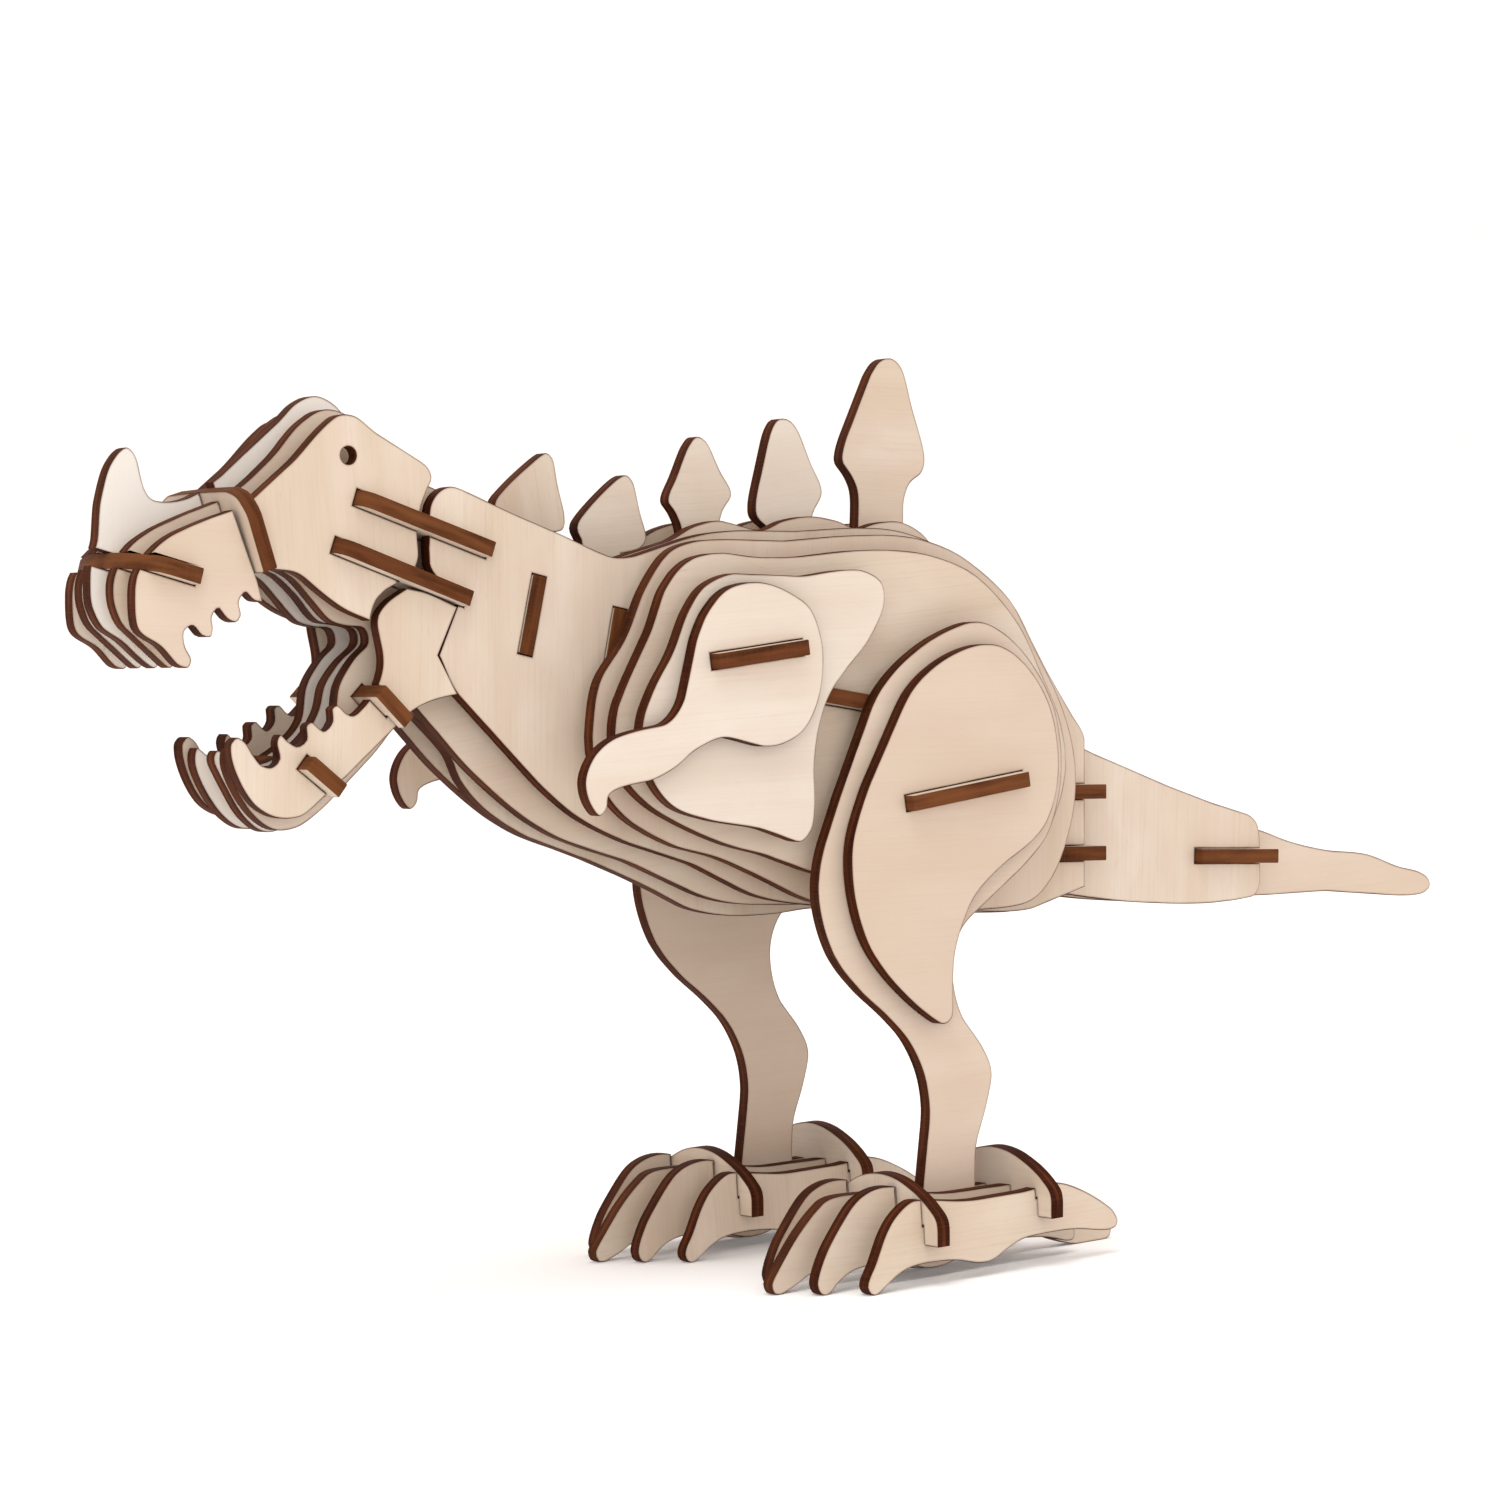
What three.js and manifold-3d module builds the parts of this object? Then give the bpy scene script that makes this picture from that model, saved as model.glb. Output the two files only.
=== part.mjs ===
// A slot-together plywood dinosaur: flat laser-cut plates that stand side by side along the
// animal, held at their spacing by cross boards pushed through slots, on two broad toed feet.
// Millimetres. +X runs from snout to tail, +Y to the animal's right, +Z up from the floor.
import * as THREE from "three";
import { mergeVertices } from "three/addons/utils/BufferGeometryUtils.js";
import Module from "manifold-3d";

// ---- Driving sizes ----
const modelLength = 335; // snout to tail tip, along the body
const modelHeight = 186; // underfoot to the tip of the tallest spike, square to the body
const ply = 3; // thickness of the sheet that every piece is cut from
const layerPitch = 6.3; // centre to centre of neighbouring layers of the body
const slotPlay = 0.15; // clearance on each side of a board in its slot
const seamGap = 0.3; // between plates that meet edge to edge or lie face to face
const shoulder = 0.8; // a cross board widens by this at each end, one layer further in
const boardProud = 2.7; // how far the arm and hip boards stand out of the outermost plate
const neckProud = 2.9; // how far the neck, nose and snout pieces stand out of the outer head plates
const tailBoardGap = 0.9; // between the ends of the tail boards and the layer outside them
const tailTipProud = 2.7; // how far the tail tip's board stands out of the tail's base plates
const jawBoardProud = 3; // how far the two jaw boards stand out of the outer jaw plates
const chinGap = 0.4; // between the inner head plates and the outer jaw plates at the chin
const jawStandOff = 0.6; // how far those plates sit outside the neck's outer layer at their rear
const neckSeam = -102.3; // where the head's plates end and the body's begin
const tailSeam = 43.2; // where the inner body plates end and the tail's begin
const stance = 3.72; // degrees that the body tips back, so that the animal holds its head up
const soleHeight = 1.3; // from the body's base line to the floor, below the hips
const toeClearance = 1; // on each side of the leg, to the toe plates beside it
const archOverhang = 4.5; // how far a foot's arches pass the outermost toe plates
const frontArchX = -5.5; // station of the front arch of each foot
const rearArchX = 23; // station of the rear arch
const rearArchLift = 1.9; // how much higher the rear arch stands
const archTop = 21.2; // height of the front arch
const archUnder = 10; // height of its underside, between the toe plates
const archFoot = 8.1; // height of the lower ends of its two legs
const lapDepth = 2; // height of the half lap between an arch and a toe plate
const bracketLap = 7; // height at which the snout bracket laps over the inner head plates
const eyeRadius = 1.7;
const spikeRootDepth = 8; // how deep a spike's foot sits in the centre plate
const curveTolerance = 0.08; // how closely straight facets follow a curved cut

// The outlines below are drawn at this size, and are stretched to the sizes above.
const drawnLength = 335;
const drawnHeight = 186;
const stretch = modelLength / drawnLength;
const lift = modelHeight / drawnHeight;

// ---- Layers, counted outward from the centre plate ----
const layer = (count) => count * layerPitch;
const innerLayer = layer(1);
const neckLayer = layer(2);
const flankLayer = layer(3);
const outerFlankLayer = layer(4);
const limbLayer = layer(5);
const outerLimbLayer = limbLayer + ply + seamGap;
const limbReach = outerLimbLayer + ply / 2 + boardProud;
const upperHipReach = limbLayer - ply / 2 - seamGap;
const neckReach = neckLayer + ply / 2 + neckProud;
const tailReach = flankLayer - ply / 2 - tailBoardGap;
const tailTipReach = innerLayer + ply / 2 + tailTipProud;
const toePitch = 2 * (ply + toeClearance);
const archReach = 1.5 * toePitch + ply / 2 + archOverhang;
const tip = THREE.MathUtils.degToRad(stance);

// ---- Colours of pale birch ply, which differ a little from sheet to sheet ----
const plywood = [0xe6cfae, 0xdfc6a3, 0xead6b8].map(
  (color) => new THREE.MeshStandardMaterial({ color, roughness: 0.72, metalness: 0 }),
);

const wasm = await Module();
wasm.setup();

// ---- Shapes ----

// Drops points that lie within the tolerance of the straight line between their neighbours.
function thin(points) {
  if (points.length < 3) return points;
  const first = points[0];
  const last = points[points.length - 1];
  const span = new THREE.Vector2().subVectors(last, first);
  let far = 0;
  let worst = -1;
  for (let i = 1; i < points.length - 1; i += 1) {
    const offset = new THREE.Vector2().subVectors(points[i], first);
    const away = span.length() > 1e-6 ? Math.abs(span.cross(offset)) / span.length() : offset.length();
    if (away > far) {
      far = away;
      worst = i;
    }
  }
  if (far < curveTolerance) return [first, last];
  return [...thin(points.slice(0, worst + 1)), ...thin(points.slice(worst)).slice(1)];
}

// A closed cut line through the listed points. It is smooth, except at points whose third
// value is true, where it turns a sharp corner. Two corners in a row give a straight cut.
function cutLine(drawn) {
  const points = drawn.map(([x, z]) => new THREE.Vector3(x * stretch, z * lift, 0));
  const corners = drawn.flatMap((point, i) => (point[2] ? [i] : []));
  const count = points.length;
  const start = corners.length ? corners[0] : 0;
  const stops = corners.length ? [...corners, start + count] : [start, start + count];
  const line = [];
  for (let s = 0; s + 1 < stops.length; s += 1) {
    const run = [];
    for (let i = stops[s]; i <= stops[s + 1]; i += 1) run.push(points[i % count]);
    const closed = corners.length === 0;
    const curve = new THREE.CatmullRomCurve3(closed ? run.slice(0, -1) : run, closed, "centripetal");
    const sampled = curve.getPoints(run.length * 12).map((p) => new THREE.Vector2(p.x, p.y));
    const half = Math.floor(sampled.length / 2);
    const kept = [...thin(sampled.slice(0, half + 1)), ...thin(sampled.slice(half)).slice(1)];
    line.push(...kept.slice(0, -1));
  }
  return line;
}

// A straight-sided outline whose corners are rounded by the third value of each point.
function rounded(points) {
  const line = [];
  points.forEach(([x, y, radius = 0], i) => {
    const here = new THREE.Vector2(x, y);
    if (!radius) {
      line.push(here);
      return;
    }
    const before = points[(i + points.length - 1) % points.length];
    const after = points[(i + 1) % points.length];
    const back = new THREE.Vector2(before[0] - x, before[1] - y).normalize();
    const on = new THREE.Vector2(after[0] - x, after[1] - y).normalize();
    const from = here.clone().addScaledVector(back, radius);
    const to = here.clone().addScaledVector(on, radius);
    line.push(...new THREE.QuadraticBezierCurve(from, here, to).getPoints(4));
  });
  return line;
}

// The flat piece inside a cut line, centred on its own thickness.
function sheet(line, holes = []) {
  const shape = new THREE.Shape(line);
  holes.forEach((hole) => shape.holes.push(hole));
  const geometry = new THREE.ExtrudeGeometry(shape, {
    depth: ply,
    bevelEnabled: false,
    curveSegments: 8,
  });
  return geometry.translate(0, 0, -ply / 2);
}

function toSolid(geometry) {
  const bare = geometry.clone();
  bare.deleteAttribute("normal");
  bare.deleteAttribute("uv");
  const merged = mergeVertices(bare, 1e-5);
  return new wasm.Manifold(
    new wasm.Mesh({
      numProp: 3,
      vertProperties: new Float32Array(merged.attributes.position.array),
      triVerts: new Uint32Array(merged.index.array),
    }),
  );
}

function toGeometry(solid) {
  const mesh = solid.getMesh();
  const geometry = new THREE.BufferGeometry();
  geometry.setAttribute("position", new THREE.BufferAttribute(mesh.vertProperties, 3));
  geometry.setIndex(new THREE.BufferAttribute(mesh.triVerts, 1));
  geometry.computeVertexNormals();
  return geometry;
}

// ---- The model's tree ----
const dinosaur = new THREE.Group();
const pieces = [];

function addGroup(parent, x = 0, y = 0, z = 0) {
  const group = new THREE.Group();
  group.position.set(x, y, z);
  parent.add(group);
  return group;
}

function addPiece(name, group, geometry) {
  const mesh = new THREE.Mesh(geometry, plywood[pieces.length % plywood.length]);
  mesh.name = name;
  group.add(mesh);
  const piece = { mesh, solid: toSolid(geometry) };
  pieces.push(piece);
  return piece;
}

// A plate that stands lengthways at a distance to the side, which is negative on the left.
function addPlate(name, group, line, side, holes) {
  const piece = addPiece(name, group, sheet(line, holes));
  piece.mesh.rotation.x = Math.PI / 2;
  piece.mesh.position.y = side;
  return piece;
}

function addPair(name, group, line, side, holes) {
  const left = addPlate(name + "_left", group, line, -side, holes);
  const right = addPlate(name + "_right", group, line, side, holes);
  return [left, right];
}

// Takes a block out of a piece. The block is given in the frame of another piece.
function cutBlock(piece, frame, low, high) {
  const size = new THREE.Vector3().subVectors(high, low);
  const centre = new THREE.Vector3().addVectors(low, high).multiplyScalar(0.5);
  const block = new THREE.BoxGeometry(size.x, size.y, size.z).translate(centre.x, centre.y, centre.z);
  piece.mesh.updateWorldMatrix(true, false);
  frame.mesh.updateWorldMatrix(true, false);
  block.applyMatrix4(frame.mesh.matrixWorld);
  block.applyMatrix4(piece.mesh.matrixWorld.clone().invert());
  piece.solid = piece.solid.subtract(toSolid(block));
}

// A board that lies across the plates. Seen from the side it is the line between two points,
// and it steps down at each layer, so that every plate stops against a shoulder.
function addBoard(name, group, size) {
  const { from, to, layers, reach, steps = [shoulder, shoulder], corners = [0.6, 0.6] } = size;
  const start = new THREE.Vector2(from[0] * stretch, from[1] * lift);
  const end = new THREE.Vector2(to[0] * stretch, to[1] * lift);
  const half = start.distanceTo(end) / 2;
  const ends = (inward) => [-half - inward * steps[0], half + inward * steps[1]];
  const outerFirst = [...layers].sort((a, b) => b - a);
  const near = [];
  const far = [];
  near.push([ends(0)[0], reach, corners[0]]);
  far.push([ends(0)[1], reach, corners[1]]);
  outerFirst.forEach((side, i) => {
    if (i === outerFirst.length - 1 || side === 0) return;
    const stop = side - ply / 2 - slotPlay;
    near.push([ends(i)[0], stop], [ends(i + 1)[0], stop]);
    far.push([ends(i)[1], stop], [ends(i + 1)[1], stop]);
  });
  const mirror = (list) => list.map(([u, v, r]) => [u, -v, r]).reverse();
  const outline = [...near, ...mirror(near), ...mirror(far).reverse(), ...[...far].reverse()];
  const distinct = outline.filter(([u, v], i) => {
    const [pu, pv] = outline[(i + outline.length - 1) % outline.length];
    return Math.hypot(u - pu, v - pv) > 1e-6;
  });
  const piece = addPiece(name, group, sheet(rounded(distinct)));
  piece.mesh.rotation.y = -Math.atan2(end.y - start.y, end.x - start.x);
  piece.mesh.position.set((start.x + end.x) / 2, 0, (start.y + end.y) / 2);
  piece.span = (side) => ends(Math.max(0, outerFirst.findIndex((at) => Math.abs(at - side) < 1e-6)));
  return piece;
}

// Cuts the slot for a board in each of the plates of one layer. An open end is cut right out
// through the plate's edge.
function slotFor(board, plates, side, open = [false, false]) {
  const [low, high] = board.span(side);
  const thick = ply / 2 + slotPlay;
  const from = new THREE.Vector3(low - (open[0] ? drawnLength : slotPlay), -drawnLength, -thick);
  const to = new THREE.Vector3(high + (open[1] ? drawnLength : slotPlay), drawnLength, thick);
  plates.forEach((plate) => cutBlock(plate, board, from, to));
}

// A plate that stands across the body. Its outline is drawn with the first value up the line
// between two points, from the middle of that line, and the second value to the side.
function addCrossPlate(name, group, from, to, outline) {
  const start = new THREE.Vector2(from[0] * stretch, from[1] * lift);
  const end = new THREE.Vector2(to[0] * stretch, to[1] * lift);
  const half = start.distanceTo(end) / 2;
  const piece = addPiece(name, group, sheet(rounded(outline(half))));
  piece.mesh.rotation.y = -Math.atan2(end.y - start.y, end.x - start.x);
  piece.mesh.position.set((start.x + end.x) / 2, 0, (start.y + end.y) / 2);
  piece.half = half;
  return piece;
}

// Cuts the slot for a cross plate between two heights up its own line.
function slotAcross(crossPlate, plates, low, high) {
  const wide = drawnLength;
  const thick = ply / 2 + slotPlay;
  const from = new THREE.Vector3(low, -wide, -thick);
  const to = new THREE.Vector3(high, wide, thick);
  plates.forEach((plate) => cutBlock(plate, crossPlate, from, to));
}

// Cuts a cross plate where a lengthways plate passes through it, between two heights.
function notchAcross(crossPlate, side, low, high) {
  const half = ply / 2 + slotPlay;
  const from = new THREE.Vector3(low, side - half, -drawnLength);
  const to = new THREE.Vector3(high, side + half, drawnLength);
  cutBlock(crossPlate, crossPlate, from, to);
}

// ---- Head ----
const head = addGroup(dinosaur);

const headCentreLine = cutLine([
  [-152.8, 121.3], [-155.5, 122.8], [-159.7, 126.2], [-163.5, 128.6], [-165.7, 132.3],
  [-166.2, 136.8], [-165.8, 140.9], [-164.7, 144.6], [-164, 152.1], [-161.6, 159.3],
  [-158.7, 161.9], [-156.9, 160.5], [-155.2, 154.9], [-153.6, 152.6], [-150.6, 152.1],
  [-145.8, 153], [-139.8, 156.7], [-133.8, 161.9], [-127.3, 167.4], [-123, 171.4],
  [-119.1, 172.9], [-114.8, 171.4], [-109, 165], [neckSeam - seamGap, 159, true],
  [neckSeam - seamGap, 115.8, true], [-107, 108.6], [-113, 101.5], [-120.5, 93.8],
  [-125, 91.5], [-130, 90.7], [-134.3, 93.6], [-138.3, 99.7], [-140.6, 104.4],
  [-139.8, 106], [-136.7, 104.2], [-132.4, 103.3], [-127, 104.8], [-121.4, 108.7],
  [-118.3, 113.5], [-117, 118.3], [-113.6, 122.8], [-110, 126.2], [-110.4, 128.7],
  [-114.3, 129.7], [-118.5, 130.4], [-123.1, 135.1], [-128.5, 139.2], [-137, 139.8],
  [-144.5, 136.6], [-149.4, 131.6], [-151.2, 124.6],
]);
const headCentre = addPlate("head_centre_plate", head, headCentreLine, 0);

const headInnerLine = cutLine([
  [-152.9, 121.3], [-156.1, 123.5], [-159.6, 126.4], [-162.7, 129.1], [-164.4, 132.8],
  [-164.6, 137], [-163.4, 140.2], [-161.2, 143.4], [-157, 146.4], [-149.9, 149.6],
  [-142.5, 152.4], [-138.5, 154.8], [-131.5, 160.9], [-125.9, 167], [-120.9, 169.9],
  [-115.9, 169.2], [-110, 164.4], [neckSeam - seamGap, 158.4, true],
  [neckSeam - seamGap, 114.2, true], [-108, 107.2], [-115, 100.3], [-122.2, 94.1],
  [-126.5, 91.6], [-131.1, 91.2], [-135, 93.4], [-138.7, 97.9], [-141.2, 103.6],
  [-140.7, 106.4], [-138, 104.7], [-133.1, 103.1], [-128.4, 103.9], [-122.6, 107.2],
  [-118.6, 111.5], [-117.4, 118.1], [-114.2, 123.1], [-111.2, 126.2], [-112, 128.9],
  [-115.9, 129.4], [-119.2, 130.3], [-122.5, 133.3], [-127.8, 138.4], [-133, 140],
  [-140, 138.5], [-146.3, 135], [-149.8, 131], [-151.4, 124.6],
]);
const headInner = addPair("head_inner_plate", head, headInnerLine, innerLayer);

const toothLine = cutLine([
  [-143.4, 150.3, true], [-150.3, 147.9], [-156.5, 145.1], [-160.3, 142], [-163, 138],
  [-163.5, 132.5], [-162.6, 128], [-158, 125], [-154.7, 121.8], [-152.6, 121.3],
  [-151.9, 122.7], [-153.2, 125.2], [-153.4, 127.9], [-151.7, 129], [-149.7, 127.2],
  [-147.9, 127], [-147.5, 128.6], [-147.7, 130.6], [-146.4, 132.2], [-144.6, 130.4],
  [-142.7, 129.7], [-141.7, 130.9], [-142.1, 133.4], [-140.8, 135.2], [-139, 133.8],
  [-137.2, 133.5, true], [-138.4, 137.8],
]);
const tooth = addPair("snout_tooth_plate", head, toothLine, neckLayer);

const eyeCircle = new THREE.EllipseCurve(-119 * stretch, 161.1 * lift, eyeRadius, eyeRadius);
const eyeHole = new THREE.Path(eyeCircle.getPoints(20).slice(0, -1));
const eyeLine = cutLine([
  [-141.2, 150.9, true], [-130.8, 159.6], [-124.5, 166], [-120.9, 168.6], [-117.4, 168.4],
  [-113.1, 165.6], [-106.2, 162], [-101.6, 159.2], [-100.9, 157.3], [-101.8, 155.4],
  [-103.4, 151.5], [-104.1, 147], [-103.8, 142.5], [-105, 139.6], [-107.9, 137.6],
  [-111, 136], [-113.1, 134], [-114, 131.8], [-114.3, 130.3, true], [-119.9, 132.4],
  [-125.3, 135.8], [-130, 138.9], [-136.6, 139.6, true],
]);
const eye = addPair("eye_plate", head, eyeLine, neckLayer, [eyeHole]);

// The outer jaw plates turn in toward the chin about the notch at their rear.
const jawPivot = [-98.5 * stretch, neckLayer + jawStandOff];
const jawFront = -142.4 * stretch;
const jawSlope = (jawPivot[1] - innerLayer - ply - chinGap) / (jawPivot[0] - jawFront);
const jawSideAt = (x) => jawPivot[1] + jawSlope * (x - jawPivot[0]);
const jawLine = cutLine([
  [-142.2, 107.5], [-140.9, 108.5], [-139.1, 107.3], [-137.9, 105.4], [-136.2, 103.4],
  [-134.1, 102.9], [-132.5, 104.4], [-133, 107.4], [-132.3, 109], [-130.8, 107.8],
  [-128.8, 106.8], [-127, 108], [-127, 110.6], [-125.9, 111.3], [-123.4, 109.6],
  [-121.7, 111.3], [-121.7, 113.9], [-120.5, 114.4], [-118.9, 113], [-117.4, 112.5],
  [-114.8, 114.5], [-112.6, 117.6], [-111.3, 121.6], [-111.5, 125.2], [-112.4, 129],
  [-112.2, 131.4], [-109.8, 134.2], [-106.2, 136.5, true], [-102.6, 135.8], [-95.6, 133.1, true],
  [-99.7, 123.9, true], [-95.5, 116.5, true], [-100.5, 115.4], [-104.7, 113.6], [-109.5, 109.5],
  [-119.4, 100.6], [-123.8, 97], [-127.9, 93.9], [-132.5, 93.5], [-136.8, 95.4],
  [-140, 99.3], [-142.2, 104.6],
]).map((point) => point.clone().setX(point.x - jawPivot[0]));
const jaw = [-1, 1].map((side) => {
  const hinge = addGroup(head, jawPivot[0], side * jawPivot[1]);
  hinge.rotation.z = side * Math.atan(jawSlope);
  return addPlate(side < 0 ? "jaw_plate_left" : "jaw_plate_right", hinge, jawLine, 0);
});

// The bracket straddles the snout between the tooth plates and the eye plates.
const bracket = addCrossPlate("snout_bracket", head, [-137, 139.2], [-141.7, 153.4], (half) => [
  [half + 1.2, 0], [half + 1, neckReach - 6], [half, neckReach - 2.2, 1.6],
  [half - 3.6, neckReach, 1.6], [-half, neckReach, 0.6],
  [-half, -neckReach, 0.6], [half - 3.6, -neckReach, 1.6], [half, -neckReach + 2.2, 1.6],
  [half + 1, -neckReach + 6],
]);
const bracketLapAt = bracketLap - bracket.half;
slotAcross(bracket, [headCentre, ...headInner], bracketLapAt - slotPlay, drawnLength);
[-innerLayer, 0, innerLayer].forEach((side) => {
  notchAcross(bracket, side, -drawnLength, bracketLapAt);
});
[tooth, eye].flat().forEach((plate) => slotAcross(bracket, [plate], -bracket.half - 4, drawnLength));

// The nose board slides into the open front of the snout and carries the tooth plates.
const noseLine = (half) => [
  [half, neckReach, 0.6], [2 - half, neckReach, 2.4], [-half - 1.4, innerLayer, 2],
  [-half - 1.4, -innerLayer, 2], [2 - half, -neckReach, 2.4], [half, -neckReach, 0.6],
];
const noseBoard = addCrossPlate("nose_board", head, [-161.5, 140.6], [-151, 137.9], noseLine);
const snout = [headCentre, ...headInner, ...tooth];
slotAcross(noseBoard, snout, -drawnLength, noseBoard.half + slotPlay);

const neckLayers = [0, innerLayer, neckLayer];
const neckBoards = [
  addBoard("neck_board_upper", head, {
    from: [-117.5, 153.3], to: [-88.6, 144], layers: neckLayers, reach: neckReach, corners: [3.5, 0.6],
  }),
  addBoard("neck_board_lower", head, {
    from: [-122.2, 144.3], to: [-93.5, 134.6], layers: neckLayers, reach: neckReach, corners: [3.5, 0.6],
  }),
];

const chinEnds = { from: [-127.8, 103.8], to: [-120.8, 98.4] };
const jawEnds = { from: [-113.5, 117.2], to: [-107.2, 111.2] };
const [chinBoard, jawBoard] = [["chin_board", chinEnds], ["jaw_rear_board", jawEnds]].map(([name, ends]) => {
  const middle = ((ends.from[0] + ends.to[0]) / 2) * stretch;
  const reach = jawSideAt(middle) + ply / 2 + jawBoardProud;
  return addBoard(name, head, { ...ends, layers: neckLayers, reach, steps: [0, 0] });
});
[chinBoard, jawBoard].forEach((board) => slotFor(board, [headCentre, ...headInner], 0));
slotFor(chinBoard, jaw, 0, [false, true]);

// The rear board laps half and half with the outer jaw plates, from their front edge.
const jawLap = 1.2;
jaw.forEach((plate) => {
  const from = new THREE.Vector3(-drawnLength, -drawnLength, -ply / 2 - slotPlay);
  cutBlock(plate, jawBoard, from, new THREE.Vector3(jawLap, drawnLength, ply / 2 + slotPlay));
});
const notchEnd = jawBoard.span(neckLayer)[1];
const notchLean = Math.cos(jawBoard.mesh.rotation.y);
const notchSide = jawSideAt(jawBoard.mesh.position.x + ((jawLap + notchEnd) / 2) * notchLean);
const notchHalf = ply / 2 + slotPlay + (jawSlope * (notchEnd - jawLap + ply)) / 2;
[-notchSide, notchSide].forEach((side) => {
  const from = new THREE.Vector3(jawLap - slotPlay, side - notchHalf, -ply);
  cutBlock(jawBoard, jawBoard, from, new THREE.Vector3(drawnLength, side + notchHalf, ply));
});

// ---- Body ----
const body = addGroup(dinosaur);

const bodyCentreLine = cutLine([
  [neckSeam + seamGap, 157.5, true], [-92.9, 154], [-83, 150.2], [-71.7, 146.3], [-63.6, 143.3],
  [-57, 141.4], [-49, 142.8], [-42.4, 145.2], [-36, 147], [-28, 148.2], [-15.2, 148.6], [-2.8, 149.4],
  [8, 149.4], [16.5, 147.6], [24, 144.4], [33, 138.6], [38.4, 133.6], [44.3, 124.9],
  [49.2, 117.9], [56.2, 107.9], [60.4, 98], [61.6, 88], [60.6, 77.8], [57.8, 73.2],
  [50.6, 71.3], [40.4, 71], [18, 72.2], [-3.5, 73], [-12.6, 72.2], [-23.9, 72.1],
  [-33.2, 73.7], [-38.8, 76.2], [-46.1, 79.4], [-55.1, 83], [-64.1, 86.2], [-71.8, 88.8],
  [-78.5, 92.3], [-83.8, 96.3], [-87.2, 100.3], [-89.5, 104.8], [-95, 110.3],
  [neckSeam + seamGap, 116.4, true],
]);
const bodyCentre = addPlate("body_centre_plate", body, bodyCentreLine, 0);

const bodyInnerLine = cutLine([
  [neckSeam + seamGap, 157.8, true], [-92.9, 154.4], [-83, 150.7], [-71.7, 146.8], [-63.6, 143.7],
  [-57, 143.1], [-48.6, 145.3], [-42, 147.2], [-37.4, 149.6], [-31, 151.2], [-25, 150.2],
  [-20, 149.6], [-14.6, 151.6], [-8, 152.6], [-1.4, 151.8], [3.4, 150.4], [8.4, 151.6],
  [14.4, 152], [20, 149.8], [24.6, 145.6], [33, 139], [38.4, 134.6],
  [tailSeam - seamGap, 128, true], [tailSeam - seamGap, 73.4, true], [20, 73.6], [0, 74.2],
  [-15, 74.3], [-28, 75], [-36, 77], [-44, 80.3], [-53, 83.9], [-62, 86.5], [-69, 88.9],
  [-75.8, 92.4], [-82.4, 97], [-89, 102.4], [-95.6, 108.9], [neckSeam + seamGap, 115.4, true],
]);
const bodyInner = addPair("body_inner_plate", body, bodyInnerLine, innerLayer);

const neckBodyLine = cutLine([
  [-101.4, 141.2, true], [-101.5, 148], [-101.2, 152], [-99.6, 154.6], [-96.8, 155.9],
  [-92.9, 154.9], [-83, 151.2], [-71.7, 147.3], [-63.6, 144.3], [-59.6, 143.2], [-55.4, 143.5],
  [-48.6, 145.5], [-39.5, 148], [-29.9, 149.1], [-15.2, 149.3], [-2.8, 150.2], [8, 150],
  [16.5, 148.1], [24, 145], [32, 140.6], [38.7, 135.6], [45, 126.2], [49.7, 119.2],
  [54.6, 112.6], [58.1, 107.4, true], [58.1, 76.5, true], [53, 74.9], [48.5, 73.6],
  [43.5, 72.2], [35.6, 71.8], [10, 73.4], [-8, 74], [-20.6, 75.4], [-27.1, 77],
  [-40.9, 83], [-56.2, 87.6], [-67.7, 92.6], [-76, 98.6], [-83, 105], [-95, 116.4, true],
  [-99.3, 123.9, true], [-95.2, 133.2, true],
]);
const neckBody = addPair("neck_body_plate", body, neckBodyLine, neckLayer);

const flankInnerLine = cutLine([
  [-68.7, 105.5], [-68.7, 111], [-67.1, 119], [-61.2, 127.4], [-56.6, 137.2], [-51, 144.2],
  [-45.6, 146.3], [-37.6, 147], [-23.2, 147], [-10, 148.2], [4.7, 148.6], [13, 147.4],
  [21.5, 144.3], [33.2, 136], [38.9, 127.4], [46.9, 114.2], [50.2, 104], [50.4, 95],
  [48.4, 87], [44.4, 79], [39, 74.4], [28, 72.8], [5, 74], [-8, 74.2], [-17.1, 75.6],
  [-28.8, 80.4], [-39, 84.4], [-50.6, 87.4], [-60.9, 92.6], [-66, 98],
]);
const flankInner = addPair("flank_inner_plate", body, flankInnerLine, flankLayer);

const flankOuterLine = cutLine([
  [-67.7, 106.8], [-67.3, 113.2], [-64.8, 119], [-59.6, 128.6], [-55.9, 137.3], [-51, 142.2],
  [-44.4, 144], [-34, 143.4], [-24.5, 143.7], [-14, 144.9], [-2, 145.4], [8, 144.5],
  [19.2, 140.8], [30.3, 131.2], [36.4, 121], [41.4, 111], [42.8, 101], [39, 90.4],
  [30, 83.2], [16, 79.8], [0, 79.2], [-11, 79.6], [-21.3, 81.6], [-32, 85], [-42, 87.4],
  [-52.1, 91.2], [-60, 95.3], [-65.4, 100.4],
]);
const flankOuter = addPair("flank_outer_plate", body, flankOuterLine, outerFlankLayer);

const shoulderLine = cutLine([
  [-65.7, 106.6], [-65.4, 112], [-63, 117.6], [-58.6, 124.8], [-55.6, 131.6], [-51.6, 137],
  [-45.5, 139.7], [-36.9, 139.7], [-28, 139.7], [-20, 140.8], [-13.4, 140.9], [-8.9, 138.6],
  [-8.3, 134.4], [-12, 127.4], [-17.2, 121.8], [-21.4, 116.8], [-24.1, 110.4], [-25.3, 102],
  [-25.2, 94.6], [-25.9, 90.4], [-28.4, 87.9], [-32.4, 88.8], [-38.5, 90.6], [-50.2, 92.4],
  [-58.4, 95], [-63, 99.6],
]);
const shoulderPlates = addPair("shoulder_plate", body, shoulderLine, limbLayer);

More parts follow.
